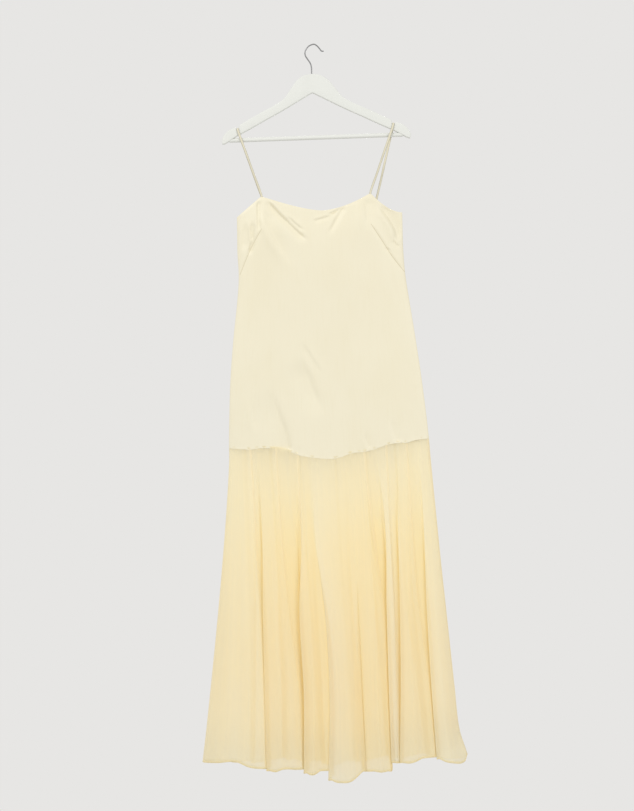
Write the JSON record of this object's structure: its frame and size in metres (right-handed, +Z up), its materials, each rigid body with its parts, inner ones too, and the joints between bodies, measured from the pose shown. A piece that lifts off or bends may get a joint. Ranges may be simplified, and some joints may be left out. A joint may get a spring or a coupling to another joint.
{
  "type": "drop-waist maxi dress on a hanger",
  "caption": "Sleeveless maxi dress with narrow straps, a long satin bodice with slanting bust darts and a gored sheer skirt in soft flutes, hanging flat on a notched wooden hanger.",
  "frame": {"origin": "The inside top of the hanger's hook, where a peg or rail carries it", "axes": "+Z up, -Y out of the front of the dress, +X to the right seen from the front"},
  "size_m": [0.6213, 0.1336, 1.721],
  "materials": {
    "satin": "pale cream satin with a soft sheen",
    "chiffon": "sheer pale yellow chiffon, matt",
    "white_paint": "satin white paint on wood",
    "hook_wire": "bright plated wire"
  },
  "bodies": {
    "root": {"bodice_front": "satin", "bodice_back": "satin", "strap_left": "satin", "strap_right": "satin", "skirt_front_1": "chiffon", "skirt_front_2": "chiffon", "skirt_front_3": "chiffon", "skirt_front_4": "chiffon", "skirt_front_5": "chiffon", "skirt_front_6": "chiffon", "skirt_front_7": "chiffon", "skirt_back_1": "chiffon", "skirt_back_2": "chiffon", "skirt_back_3": "chiffon", "skirt_back_4": "chiffon", "skirt_back_5": "chiffon", "skirt_back_6": "chiffon", "skirt_back_7": "chiffon", "hanger_body": "white_paint", "hanger_bar": "white_paint", "hanger_hook": "hook_wire"}
  },
  "joints": []
}
